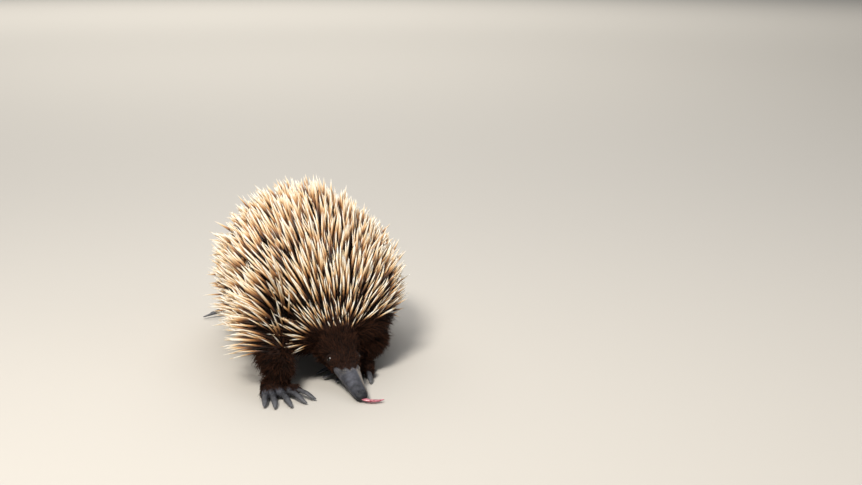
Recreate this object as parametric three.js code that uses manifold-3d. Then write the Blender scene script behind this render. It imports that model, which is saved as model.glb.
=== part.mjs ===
// A short-beaked echidna, life size, walking with its head low, as a still museum model.
// Millimetres. It faces -Y, its left side is +X, +Z is up, and the floor is z = 0.
// The trunk, head and legs are modelled out to the tips of the quills and the fur.

import * as THREE from "three";
import { mergeVertices } from "three/addons/utils/BufferGeometryUtils.js";
import Module from "manifold-3d";

const wasm = await Module();
wasm.setup();

// Driving dimensions of the trunk, out to the tips of the quills.
const COAT_WIDTH = 238;
const COAT_TOP = 193;
const COAT_FRONT = -165;
const COAT_BACK = 158;
const WIDEST_AT = 20;
const WIDEST_HEIGHT = 85;
const BELLY_HEIGHT = 27;
const NAPE_LOW = 34;
const RUMP_LOW = 10;

// Rows of quills that run from the head to the tail, and the parting along the back.
const ROWS = 14;
const ROW_DEPTH = 1.3;
const PARTING_DEPTH = 4;
const PARTING_SHARE = 0.09;

// The beak, from its tip, which rests near the floor, to the eyes, and the middle of the head.
const BEAK_TIP = new THREE.Vector3(20.8, -229.6, 5.2);
const BEAK_BARE = 46;
const TIP_TO_EYES = 60;
const HEAD_TURN = 9.8;
const HEAD_DROP = 17;
const HEAD_MIDDLE = new THREE.Vector3(6.5, -158, 36);

// Eyes, measured from the beak's line, and ears, measured from the middle of the head.
const EYE_RADIUS = 4.2;
const EYE_SPREAD = 14.8;
const EYE_LIFT = 8;
const EAR_AHEAD = 3.5;
const EAR_SPREAD = 22.6;
const EAR_DROP = 4.2;
const EAR_HEIGHT = 13;
const EAR_BOW = 2.5;

// Feet and claws. The claws' lengths go from the first toe to the fifth.
const TOE_REACH = 19;
const TOE_SIZE = 5;
const CLAW_ROOT_DEPTH = 3;
const FORE_CLAWS = [23, 27, 29, 26, 19];
const HIND_CLAWS = [8, 33, 25, 13, 9];
const FORE_CLAW_WIDTH = 3.4;
const FORE_TOE_SPACING = 5.5;
const HIND_CLAW_WIDTH = 2.5;
const HIND_CLAW_SWEEP = 0.18;

// Gap between touching pieces.
const GAP = 0.3;

const COLOURS = {
  quills: 0xc9a878,
  fur: 0x4a2f22,
  skin: 0x5a5552,
  claw: 0x6a655c,
  eye: 0x120d0a,
  tongue: 0xc26a72,
};

const FINISHES = {
  quills: { roughness: 0.45, metalness: 0 },
  fur: { roughness: 0.9, metalness: 0 },
  skin: { roughness: 0.6, metalness: 0 },
  claw: { roughness: 0.5, metalness: 0 },
  eye: { roughness: 0.08, metalness: 0 },
  tongue: { roughness: 0.3, metalness: 0 },
};

const radians = THREE.MathUtils.degToRad;
const at = (x, y, z) => new THREE.Vector3(x, y, z);

// Solids from closed surfaces, and back again.

function solidOf(geometry) {
  const bare = new THREE.BufferGeometry();
  bare.setAttribute("position", geometry.getAttribute("position"));
  bare.setIndex(geometry.getIndex());
  const merged = mergeVertices(bare, 1e-3);
  return new wasm.Manifold(
    new wasm.Mesh({
      numProp: 3,
      vertProperties: new Float32Array(merged.attributes.position.array),
      triVerts: new Uint32Array(merged.index.array),
    }),
  );
}

function geometryOf(solid) {
  const mesh = solid.getMesh();
  const points = new Float32Array(mesh.numVert * 3);
  for (let i = 0; i < mesh.numVert; i++) {
    const from = i * mesh.numProp;
    points.set(mesh.vertProperties.subarray(from, from + 3), i * 3);
  }
  const indexed = new THREE.BufferGeometry();
  indexed.setAttribute("position", new THREE.BufferAttribute(points, 3));
  indexed.setIndex(new THREE.BufferAttribute(new Uint32Array(mesh.triVerts), 1));
  const flat = indexed.toNonIndexed();
  flat.computeVertexNormals();
  return flat;
}

// A sphere whose every point is moved by place(). Its axis share runs from 1 at the first
// pole to -1 at the last, its round share is 0 at the poles, and its angle goes about the axis.
function shapedBall(around, along, place) {
  const ball = new THREE.SphereGeometry(1, around, along);
  const position = ball.getAttribute("position");
  for (let ring = 0; ring <= along; ring++) {
    for (let spoke = 0; spoke <= around; spoke++) {
      const latitude = (Math.PI * ring) / along;
      const isPole = ring === 0 || ring === along;
      const angle = (2 * Math.PI * (spoke % around)) / around;
      const point = place(Math.cos(latitude), isPole ? 0 : Math.sin(latitude), angle);
      position.setXYZ(ring * (around + 1) + spoke, point.x, point.y, point.z);
    }
  }
  return solidOf(ball);
}

// A rounded body along a curve. Each station has a centre, a half width and a half height.
// A low value of blunt keeps the ends broad, and grow makes the whole body thicker.
function limb(stations, { around, along, blunt, grow = 0, up = at(0, 0, 1) }) {
  const curve = new THREE.CatmullRomCurve3(stations.map((s) => s.at));
  const sizes = new THREE.CatmullRomCurve3(stations.map((s) => at(s.wide, s.high, 0)));
  return shapedBall(around, along, (axis, round, angle) => {
    const t = 0.5 - 0.5 * axis;
    const centre = curve.getPoint(t);
    const forward = curve.getTangent(t);
    const size = sizes.getPoint(t);
    const side = new THREE.Vector3().crossVectors(forward, up).normalize();
    const top = new THREE.Vector3().crossVectors(side, forward);
    const spread = round ** blunt;
    centre.addScaledVector(forward, -grow * axis);
    centre.addScaledVector(side, Math.cos(angle) * (size.x + grow) * spread);
    return centre.addScaledVector(top, Math.sin(angle) * (size.y + grow) * spread);
  });
}

// Everything under the floor is cut away, which leaves a foot its flat.
function onFloor(solid) {
  const width = 900;
  const depth = 60;
  const slab = new THREE.BoxGeometry(width, width, depth);
  slab.translate(0, 0, -depth / 2);
  return solid.subtract(solidOf(slab));
}

// The trunk in its coat of quills: a high dome, sloping to the nape and steep at the rump.
// Above its widest line a section is nearly an ellipse, and below it a skirt of quills
// hangs almost straight down to a flat belly. The animal leans to its right as it steps, so
// its left flank is drawn in above. taper says how fast each size falls to the ends.

const ABOVE = { power: { left: 1.47, right: 1.86 }, taper: { front: 1.18, back: 0.85 } };
const BELOW = { power: { left: 4.2, right: 5 }, taper: { front: 0.85, back: 0.8 } };
const ACROSS = { taper: { front: 0.84, back: 0.85 } };

function superRound(value, power) {
  return Math.sign(value) * Math.abs(value) ** (2 / power);
}

function trunkSolid(grow = 0) {
  return shapedBall(56, 20, (axis, round, angle) => {
    const end = axis > 0 ? "front" : "back";
    const reach = axis > 0 ? WIDEST_AT - COAT_FRONT : COAT_BACK - WIDEST_AT;
    const low = axis > 0 ? NAPE_LOW : RUMP_LOW;
    const across = Math.cos(angle);
    const upward = Math.sin(angle);
    const half = upward > 0 ? ABOVE : BELOW;
    const power = half.power[across > 0 ? "left" : "right"];
    const full = upward > 0 ? COAT_TOP - WIDEST_HEIGHT : WIDEST_HEIGHT - BELLY_HEIGHT;
    const isParted = upward > 0 ? Math.exp(-((across / PARTING_SHARE) ** 2)) : 0;
    const row = ROW_DEPTH * Math.cos(ROWS * angle) * round;
    const swell = row + grow * Math.sqrt(round);
    const wide = (COAT_WIDTH / 2) * round ** ACROSS.taper[end] + swell;
    const high = full * round ** half.taper[end] - PARTING_DEPTH * isParted * round + swell;
    const middle = WIDEST_HEIGHT - low * axis * axis;
    return at(
      superRound(across, power) * wide,
      WIDEST_AT - axis * (reach + grow),
      middle + superRound(upward, power) * high,
    );
  });
}

// The head turns a little to its left and drops towards the tip of the beak.

const headTurn = radians(HEAD_TURN);
const headDrop = radians(HEAD_DROP);
const FACE_FORWARD = at(Math.sin(headTurn), -Math.cos(headTurn), 0);
const FACE_LEFT = at(Math.cos(headTurn), Math.sin(headTurn), 0);
const BEAK_BACK = FACE_FORWARD.clone()
  .multiplyScalar(-Math.cos(headDrop))
  .add(at(0, 0, Math.sin(headDrop)));

function alongBeak(distance, lift = 0) {
  return BEAK_TIP.clone().addScaledVector(BEAK_BACK, distance).add(at(0, 0, lift));
}

function headSolid(grow = 0) {
  const stations = [
    { at: alongBeak(BEAK_BARE - 3, 0.5), wide: 14, high: 11.5 },
    { at: alongBeak(TIP_TO_EYES - 2, 4), wide: 17.5, high: 15.5 },
    { at: HEAD_MIDDLE, wide: 24, high: 21.5 },
    { at: at(4, -140, 46), wide: 31, high: 29 },
    { at: at(1, -116, 58), wide: 36, high: 35 },
  ];
  return limb(stations, { around: 24, along: 12, blunt: 0.4, grow });
}

// The bare beak: broad at its base, with a blunt and slightly swollen tip.
function beakSolid(grow = 0) {
  const stations = [
    { at: alongBeak(0), wide: 7.8, high: 4.8 },
    { at: alongBeak(9), wide: 8.8, high: 5.6 },
    { at: alongBeak(26), wide: 10.2, high: 7.2 },
    { at: alongBeak(44, 0.4), wide: 12.6, high: 10 },
    { at: alongBeak(TIP_TO_EYES, 1.5), wide: 14.5, high: 12.5 },
  ];
  return limb(stations, { around: 20, along: 12, blunt: 0.4, grow });
}

// The tongue slips out of the small mouth at the tip, to the animal's left.
function tongueSolid() {
  const root = alongBeak(1.5, -1.6);
  const stations = [
    { at: root, wide: 1.8, high: 1.3 },
    { at: root.clone().add(at(6, -4.2, -1.0)), wide: 1.9, high: 1.3 },
    { at: root.clone().add(at(14, -5.6, -1.5)), wide: 1.7, high: 1.2 },
    { at: root.clone().add(at(22, -4.2, -1.2)), wide: 0.9, high: 0.8 },
  ];
  return limb(stations, { around: 8, along: 8, blunt: 0.45 });
}

function eyeSolid(side, grow = 0) {
  const eye = new THREE.SphereGeometry(EYE_RADIUS + grow, 14, 8);
  const place = alongBeak(TIP_TO_EYES, EYE_LIFT).addScaledVector(FACE_LEFT, side * EYE_SPREAD);
  eye.translate(place.x, place.y, place.z);
  return solidOf(eye);
}

// Each ear is an upright slit with a low rim, behind the eye.
function earSolid(side) {
  const middle = HEAD_MIDDLE.clone()
    .add(at(0, 0, -EAR_DROP))
    .addScaledVector(FACE_FORWARD, EAR_AHEAD)
    .addScaledVector(FACE_LEFT, side * EAR_SPREAD);
  const backward = FACE_FORWARD.clone().multiplyScalar(-1);
  const stations = [-1, -0.4, 0.4, 1].map((share) => ({
    at: middle
      .clone()
      .add(at(0, 0, (share * EAR_HEIGHT) / 2))
      .addScaledVector(backward, EAR_BOW * (1 - share * share)),
    wide: 3.2 - 1.4 * share * share,
    high: 2.6 - 1.1 * share * share,
  }));
  return limb(stations, { around: 10, along: 7, blunt: 0.5, up: FACE_FORWARD });
}

// The legs are short and thick, furred to the wrist or the ankle. Each goes from the shoulder
// or the hip to the foot. side is 1 for the animal's left, and a hind leg stands at a given y.

function hindLeg(side, y) {
  return [
    { at: at(44 * side, y, 66), wide: 27, high: 25 },
    { at: at(60 * side, y + 11, 46), wide: 23, high: 24 },
    { at: at(67 * side, y + 20, 28), wide: 17, high: 18 },
    { at: at(68 * side, y + 26, 14), wide: 15, high: 12 },
  ];
}

const HIND_LEFT_Y = 61;
const HIND_RIGHT_Y = 85;

const LEGS = {
  fore_right: [
    { at: at(-44, -92, 66), wide: 24, high: 24 },
    { at: at(-57, -126, 50), wide: 21, high: 22 },
    { at: at(-61, -156, 33), wide: 20, high: 20 },
    { at: at(-61, -178, 16), wide: 17, high: 13 },
  ],
  fore_left: [
    { at: at(46, -80, 66), wide: 24, high: 24 },
    { at: at(57, -104, 52), wide: 20, high: 22 },
    { at: at(53, -118, 35), wide: 19, high: 19 },
    { at: at(42, -127, 17), wide: 16, high: 13 },
  ],
  hind_right: hindLeg(-1, HIND_RIGHT_Y),
  hind_left: hindLeg(1, HIND_LEFT_Y),
};

function legSolid(name, grow = 0) {
  return limb(LEGS[name], { around: 18, along: 10, blunt: 0.4, grow });
}

// Each foot is a broad pad with five short toes, the first on its inner side. A toe's angle is
// in degrees from straight ahead, positive towards the middle. The toes of a forefoot start
// side by side, and those of a hind foot, which points backwards, all start at its middle.

function hindFoot(side, y) {
  return {
    side,
    pad: at(70 * side, y + 31, 8),
    padWide: 15,
    padLong: 18,
    toes: [-66, -92, -114, -136, -158],
    toeSpacing: 0,
    claws: HIND_CLAWS,
    clawWidth: HIND_CLAW_WIDTH,
    clawSweep: HIND_CLAW_SWEEP,
  };
}

function foreFoot(side, pad, toes) {
  return {
    side,
    pad,
    padWide: 16.5,
    padLong: 17,
    toes,
    toeSpacing: FORE_TOE_SPACING,
    claws: FORE_CLAWS,
    clawWidth: FORE_CLAW_WIDTH,
    clawSweep: 0,
  };
}

const FEET = {
  fore_right: foreFoot(-1, at(-62, -186, 8), [40, 28, 14, 0, -8]),
  fore_left: foreFoot(1, at(34, -133, 8), [74, 58, 42, 26, 6]),
  hind_right: hindFoot(-1, HIND_RIGHT_Y),
  hind_left: hindFoot(1, HIND_LEFT_Y),
};

function toeDirection(foot, index) {
  const angle = radians(foot.toes[index]);
  return at(-foot.side * Math.sin(angle), -Math.cos(angle), 0);
}

// A point at a distance from the middle of the pad, at a height above the floor.
function fromPad(foot, direction, distance, height) {
  return foot.pad.clone().addScaledVector(direction, distance).setZ(height);
}

// A point on the line of a toe and its claw.
function onToe(foot, index, distance, height) {
  const ahead = toeDirection(foot, 2);
  const inward = at(ahead.y, -ahead.x, 0).multiplyScalar(foot.side);
  return fromPad(foot, toeDirection(foot, index), distance, height).addScaledVector(
    inward,
    (2 - index) * foot.toeSpacing,
  );
}

function footSolid(name, grow = 0) {
  const foot = FEET[name];
  const ahead = toeDirection(foot, 2);
  const pad = [
    { at: fromPad(foot, ahead, -foot.padLong, 8), wide: foot.padWide * 0.8, high: 8.5 },
    { at: foot.pad, wide: foot.padWide, high: 9.5 },
    { at: fromPad(foot, ahead, foot.padLong * 0.8, 6), wide: foot.padWide * 0.8, high: 6.5 },
  ];
  let solid = limb(pad, { around: 14, along: 7, blunt: 0.6, grow });
  foot.toes.forEach((_, index) => {
    const toe = [
      { at: onToe(foot, index, 4, 8), wide: TOE_SIZE, high: TOE_SIZE },
      { at: onToe(foot, index, 13, 7), wide: TOE_SIZE, high: TOE_SIZE * 1.1 },
      { at: onToe(foot, index, TOE_REACH, 5.8), wide: TOE_SIZE * 0.9, high: TOE_SIZE * 0.9 },
    ];
    solid = solid.add(limb(toe, { around: 8, along: 4, blunt: 0.45, grow }));
  });
  return onFloor(solid);
}

// A claw is long, broad and nearly straight. It bends down to just clear of the floor, and
// the long ones of the hind feet also sweep to one side.
function clawSolid(name, index) {
  const foot = FEET[name];
  const length = foot.claws[index];
  const size = 0.65 + 0.35 * (length / Math.max(...FORE_CLAWS));
  const width = foot.clawWidth * Math.min(size, 1.05);
  const direction = toeDirection(foot, index);
  const sideways = at(-direction.y, direction.x, 0).multiplyScalar(-foot.side);
  const along = (share, height) =>
    onToe(
      foot,
      index,
      TOE_REACH - CLAW_ROOT_DEPTH + share * (length + CLAW_ROOT_DEPTH),
      height,
    ).addScaledVector(sideways, foot.clawSweep * length * share * share);
  const stations = [
    { at: along(0, 6.8), wide: width * 0.9, high: 2.6 * size },
    { at: along(0.35, 6.6), wide: width, high: 2.6 * size },
    { at: along(0.72, 4.4), wide: width * 0.88, high: 1.9 * size },
    { at: along(1, 1.6), wide: width * 0.5, high: 0.9 },
  ];
  return limb(stations, { around: 8, along: 6, blunt: 0.35 });
}

// The tail is a short stub under the rump.
function tailSolid() {
  const stations = [
    { at: at(0, 128, 66), wide: 27, high: 24 },
    { at: at(0, 150, 58), wide: 22, high: 19 },
    { at: at(1, 170, 50), wide: 11, high: 10 },
  ];
  return limb(stations, { around: 16, along: 8, blunt: 0.5 });
}

// Assembly: each piece is cut by those it meets, with a gap between them.

const animal = new THREE.Group();

function show(name, solid, kind) {
  const material = new THREE.MeshStandardMaterial({
    color: COLOURS[kind],
    ...FINISHES[kind],
  });
  const mesh = new THREE.Mesh(geometryOf(solid), material);
  mesh.name = name;
  animal.add(mesh);
}

const SIDES = [
  ["left", 1],
  ["right", -1],
];
const LEG_NAMES = Object.keys(LEGS);

const grownTrunk = trunkSolid(GAP);
const grownBeak = beakSolid(GAP);
const grownHead = headSolid(GAP);
let head = headSolid().subtract(grownTrunk).subtract(grownBeak);

show("trunk", trunkSolid(), "quills");
show("tail", tailSolid().subtract(grownTrunk), "quills");
show("beak", beakSolid(), "skin");
show("tongue", onFloor(tongueSolid().subtract(grownBeak)), "tongue");

for (const [word, side] of SIDES) {
  head = head.subtract(eyeSolid(side, GAP));
  show(`eye_${word}`, eyeSolid(side).subtract(grownBeak), "eye");
  show(`ear_${word}`, earSolid(side).subtract(grownHead).subtract(grownTrunk), "fur");
}

for (const name of LEG_NAMES) {
  const grownLeg = legSolid(name, GAP);
  const grownFoot = footSolid(name, GAP);
  head = head.subtract(grownLeg);
  show(`leg_${name}`, onFloor(legSolid(name).subtract(grownTrunk)), "fur");
  show(`foot_${name}`, footSolid(name).subtract(grownLeg), "skin");
  FEET[name].claws.forEach((_, index) => {
    const claw = clawSolid(name, index).subtract(grownFoot).subtract(grownLeg);
    show(`claw_${name}_${index + 1}`, claw, "claw");
  });
}
show("head", head, "fur");

// The origin is on the floor, in the middle of the space that the animal takes up.
const extent = new THREE.Box3().setFromObject(animal);
const middle = extent.getCenter(at(0, 0, 0));
animal.position.set(-middle.x, -middle.y, 0);

export default animal;
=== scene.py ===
import math

import bpy
import numpy as np
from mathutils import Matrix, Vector, noise
from mathutils.bvhtree import BVHTree


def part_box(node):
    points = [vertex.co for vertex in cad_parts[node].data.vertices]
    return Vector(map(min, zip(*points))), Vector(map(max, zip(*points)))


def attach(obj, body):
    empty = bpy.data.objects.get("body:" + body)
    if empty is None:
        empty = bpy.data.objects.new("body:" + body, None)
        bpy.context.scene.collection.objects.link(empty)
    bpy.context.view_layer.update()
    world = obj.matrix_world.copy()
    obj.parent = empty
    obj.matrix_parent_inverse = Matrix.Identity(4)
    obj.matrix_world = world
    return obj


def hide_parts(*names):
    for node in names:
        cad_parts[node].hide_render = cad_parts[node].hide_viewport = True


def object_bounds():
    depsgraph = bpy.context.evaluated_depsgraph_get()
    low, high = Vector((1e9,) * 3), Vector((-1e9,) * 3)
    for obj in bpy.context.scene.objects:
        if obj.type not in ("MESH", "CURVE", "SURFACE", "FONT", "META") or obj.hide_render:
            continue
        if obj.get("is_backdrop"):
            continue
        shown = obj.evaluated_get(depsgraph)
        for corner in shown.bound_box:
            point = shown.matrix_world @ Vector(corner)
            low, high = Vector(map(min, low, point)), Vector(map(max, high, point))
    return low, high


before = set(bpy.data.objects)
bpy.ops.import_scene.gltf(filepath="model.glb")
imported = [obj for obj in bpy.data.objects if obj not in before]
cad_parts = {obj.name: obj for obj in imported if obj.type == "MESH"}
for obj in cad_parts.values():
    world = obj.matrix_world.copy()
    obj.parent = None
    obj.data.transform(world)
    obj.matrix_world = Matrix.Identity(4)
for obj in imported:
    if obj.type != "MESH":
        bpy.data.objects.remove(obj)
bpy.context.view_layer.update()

# The stage: a plain pale floor, soft studio light, and the camera in front of the animal.
# The animal faces -Y, its left side is +X, and the floor is z = 0. Lengths are in metres.

MM = 0.001
CAMERA_PLACE = (-0.180, -1.374, 0.437)
CAMERA_PITCH = 12.8
CAMERA_TURN = 13.0
CAMERA_LENS = 52
SENSOR_WIDTH = 36
SKY_STRENGTH = 0.24
FLOOR_SIZE = 60


def linear(colour):
    """An sRGB hex colour such as "#c8a070" as linear red, green, blue and alpha."""
    channels = [int(colour[i : i + 2], 16) / 255 for i in (1, 3, 5)]
    return (*[c / 12.92 if c < 0.04045 else ((c + 0.055) / 1.055) ** 2.4 for c in channels], 1.0)


def add(tree, kind, inputs=None, stops=(), **settings):
    """Adds a node with its settings and links.

    An input is given a value or another node's socket, and a colour ramp its stops in order.
    """
    made = tree.nodes.new(kind)
    for name, value in settings.items():
        setattr(made, name, value)
    for socket, value in (inputs or {}).items():
        if isinstance(value, bpy.types.NodeSocket):
            tree.links.new(value, made.inputs[socket])
        else:
            made.inputs[socket].default_value = value
    for index, (share, shade) in enumerate(stops):
        elements = made.color_ramp.elements
        stop = elements[index] if index < 2 else elements.new(share)
        stop.position = share
        stop.color = linear(shade)
    return made


def material(name):
    """An empty material, its node tree and its surface output."""
    made = bpy.data.materials.new(name)
    made.use_nodes = True
    made.node_tree.nodes.clear()
    return made, made.node_tree, made.node_tree.nodes.new("ShaderNodeOutputMaterial")


def area_light(name, place, aim, size, power, colour):
    """A square soft box that shines from its place towards a point."""
    bpy.ops.object.light_add(type="AREA", location=place)
    lamp = bpy.context.object
    lamp.name = name
    lamp.rotation_euler = (Vector(aim) - Vector(place)).to_track_quat("-Z", "Y").to_euler()
    lamp.data.size = size
    lamp.data.energy = power
    lamp.data.color = linear(colour)[:3]


bpy.ops.object.select_all(action="DESELECT")
bpy.ops.object.camera_add(
    location=CAMERA_PLACE,
    rotation=(math.radians(90 - CAMERA_PITCH), 0, math.radians(-CAMERA_TURN)),
)
camera = bpy.context.object
camera.name = "camera"
camera.data.lens = CAMERA_LENS
camera.data.sensor_width = SENSOR_WIDTH
bpy.context.scene.camera = camera

# The key light stands before the animal, above its right side, under a broad soft sky light.
# A weak one on the other side fills its shadow, and the last two only light the floor behind it.
area_light("key_light", (-0.72, -0.95, 1.8), (0, 0, 0.1), 0.6, 50, "#fff9f0")
area_light("sky_light", (0.3, 0.6, 2.4), (0, 0, 0.1), 2.0, 14, "#f6f8ff")
area_light("fill_light", (1.9, -1.4, 0.9), (0, 0, 0.05), 1.5, 5, "#ffffff")
area_light("back_floor_light", (0.2, 3.2, 2.4), (0.2, 3.2, 0), 3.0, 50, "#fbf7f0")
area_light("far_floor_light", (0.2, 9.5, 4.5), (0.2, 9.5, 0), 9.0, 620, "#fbf7f0")

world = bpy.data.worlds.new("studio")
world.use_nodes = True
world.node_tree.nodes["Background"].inputs["Color"].default_value = linear("#e8ebef")
world.node_tree.nodes["Background"].inputs["Strength"].default_value = SKY_STRENGTH
bpy.context.scene.world = world
bpy.context.scene.view_settings.view_transform = "Standard"

bpy.ops.mesh.primitive_plane_add(size=FLOOR_SIZE)
floor = bpy.context.object
floor.name = "floor"
paper, tree, out = material("matt_studio_floor")
shader = add(tree, "ShaderNodeBsdfPrincipled", {"Base Color": linear("#c2beb7"), "Roughness": 0.9})
tree.links.new(shader.outputs[0], out.inputs["Surface"])
floor.data.materials.append(paper)
floor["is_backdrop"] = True

# The flesh: one skin over the trunk, neck, head, beak, ears, legs, feet and tail.
# It lies inside the solids by the depth of the coat, and is bare on the beak and the soles.
# It is made of rounded bodies joined into one closed surface, then worked in detail.

UP = np.array([0.0, 0.0, 1.0])
HEAD_DROP = math.radians(17)
TIP_TO_EYES = 60 * MM
EYE_LIFT = 8 * MM
SKIN_VOXEL = 0.9 * MM
LEGS = ("fore_left", "fore_right", "hind_left", "hind_right")


def middle(node):
    """The middle of a solid's box."""
    low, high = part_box(node)
    return (np.array(low) + np.array(high)) / 2


def unit(vectors):
    return vectors / np.linalg.norm(vectors, axis=-1, keepdims=True)


def ease(value, start, end):
    """Goes smoothly from 0 at start to 1 at end."""
    share = np.clip((value - start) / (end - start), 0, 1)
    return share * share * (3 - 2 * share)


def curve(stations, share):
    """A smooth curve through the stations, at each share of the way from first to last."""
    points = np.vstack([2 * stations[0] - stations[1], stations, 2 * stations[-1] - stations[-2]])
    place = np.clip(share, 0, 1) * (len(stations) - 1)
    step = np.minimum(place.astype(int), len(stations) - 2)
    f = (place - step)[:, None]
    a, b, c, d = (points[step + k] for k in range(4))
    return b + 0.5 * f * ((c - a) + f * ((2 * a - 5 * b + 4 * c - d) + f * (3 * (b - c) + d - a)))


def positions(mesh):
    found = np.empty(len(mesh.vertices) * 3, dtype=np.float32)
    mesh.vertices.foreach_get("co", found)
    return found.reshape(-1, 3).astype(float)


def move_to(mesh, places):
    mesh.vertices.foreach_set("co", np.ascontiguousarray(places, dtype=np.float32).ravel())
    mesh.update()


def loft(name, stations, sides=32, rings=28, blunt=0.5, up=UP):
    """A rounded body through stations of x, y, z, half width and half height, in metres."""
    bpy.ops.object.select_all(action="DESELECT")
    bpy.ops.mesh.primitive_uv_sphere_add(segments=sides, ring_count=rings, radius=1)
    body = bpy.context.object
    body.name = name
    ball = positions(body.data)
    stations = np.array(stations, dtype=float)
    share = 0.5 - 0.5 * ball[:, 2]
    size = np.hypot(ball[:, 0], ball[:, 1])
    angle = np.arctan2(ball[:, 1], ball[:, 0])
    spread = np.where(size < 1e-4, 0, size) ** blunt
    here = curve(stations, share)
    nudge = 0.01
    ahead = unit(curve(stations, share + nudge)[:, :3] - curve(stations, share - nudge)[:, :3])
    side = unit(np.cross(ahead, up))
    top = np.cross(side, ahead)
    around = side * (np.cos(angle) * here[:, 3])[:, None] + top * (np.sin(angle) * here[:, 4])[:, None]
    move_to(body.data, here[:, :3] + around * spread[:, None])
    return body


def copy_of(node):
    """A loose copy of a solid, with its doubled points merged."""
    body = bpy.data.objects.new("copy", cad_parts[node].data.copy())
    bpy.context.scene.collection.objects.link(body)
    select_only(body)
    bpy.ops.object.mode_set(mode="EDIT")
    bpy.ops.mesh.select_all(action="SELECT")
    bpy.ops.mesh.remove_doubles(threshold=0.01 * MM)
    bpy.ops.object.mode_set(mode="OBJECT")
    return body


def select_only(*bodies):
    bpy.ops.object.select_all(action="DESELECT")
    for body in bodies:
        body.select_set(True)
    bpy.context.view_layer.objects.active = bodies[0]


def apply(body, kind, **settings):
    """Adds a modifier with its settings, and applies it."""
    select_only(body)
    made = body.modifiers.new(kind.lower(), kind)
    for name, value in settings.items():
        setattr(made, name, value)
    bpy.ops.object.modifier_apply(modifier=made.name)


# Landmarks of the head, from the eyes, which stand level on either side of it.
eyes = {side: middle(f"eye_{side}") for side in ("left", "right")}
face_left = unit(eyes["left"] - eyes["right"])
face_ahead = np.cross(face_left, UP)
beak_back = -face_ahead * math.cos(HEAD_DROP) + UP * math.sin(HEAD_DROP)
beak_tip = (eyes["left"] + eyes["right"]) / 2 - beak_back * TIP_TO_EYES - UP * EYE_LIFT
beak_top = unit(np.cross(beak_back, face_left) * -1)


def on_beak(distance, lift=0.0):
    return beak_tip + beak_back * distance * MM + UP * lift * MM


def station(place, wide, high):
    return [*place, wide * MM, high * MM]


def from_tip(x, y, z):
    return beak_tip + np.array([x, y, z]) * MM


NAPE = from_tip(-14.3, 71.6, 30.8)
NECK = from_tip(-16.8, 89.6, 40.8)
NECK_BASE = from_tip(-19.8, 116, 53)
WITHERS = from_tip(-20.8, 150, 64)

# The head and the neck in one, from the beak's tip to the withers.
parts = [
    loft(
        "head_flesh",
        [
            station(on_beak(-1.2), 9.2, 5.6),
            station(on_beak(9), 9.7, 6.4),
            station(on_beak(24), 10.2, 7.6),
            station(on_beak(42, 0.4), 12.2, 9.9),
            station(on_beak(60, 3), 15.7, 13.8),
            station(NAPE, 20.6, 18.5),
            station(NECK, 27, 25),
            station(NECK_BASE, 37, 35),
            station(WITHERS, 48, 44),
        ],
        sides=48,
        rings=72,
        blunt=0.42,
    ),
]

# The chest joins the neck to the two shoulders.
parts.append(
    loft(
        "chest_flesh",
        [
            station(from_tip(-77, 94, 50), 14, 15),
            station(from_tip(-50, 87, 44), 20, 18),
            station(from_tip(-21, 94, 48), 23, 21),
            station(from_tip(8, 106, 53), 20, 18),
            station(from_tip(30, 122, 56), 13, 14),
        ],
        blunt=0.5,
    )
)

# Depth of the coat on the trunk, over the back and under the belly.
BACK_COAT = 27 * MM
BELLY_COAT = 9 * MM
SPINE_FRONT = np.array([0, -0.055, 0.085])
SPINE_REAR = np.array([0, 0.120, 0.085])

trunk = copy_of("trunk")
outer = positions(trunk.data)
share = np.clip((outer - SPINE_FRONT)[:, 1] / (SPINE_REAR - SPINE_FRONT)[1], 0, 1)[:, None]
outward = outer - (SPINE_FRONT + (SPINE_REAR - SPINE_FRONT) * share)
reach = np.linalg.norm(outward, axis=1, keepdims=True)
lowness = ease(outward[:, 2:] / reach, -0.15, -0.8)
nape = ease(outer[:, 1:2], -0.06, -0.12)
depth = (BACK_COAT * (1 - lowness) + BELLY_COAT * lowness) * (1 - 0.4 * nape)
move_to(trunk.data, outer - outward / reach * depth)
apply(trunk, "SMOOTH", factor=0.5, iterations=10)
apply(trunk, "SUBSURF", levels=1, render_levels=1)
parts.append(trunk)

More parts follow.
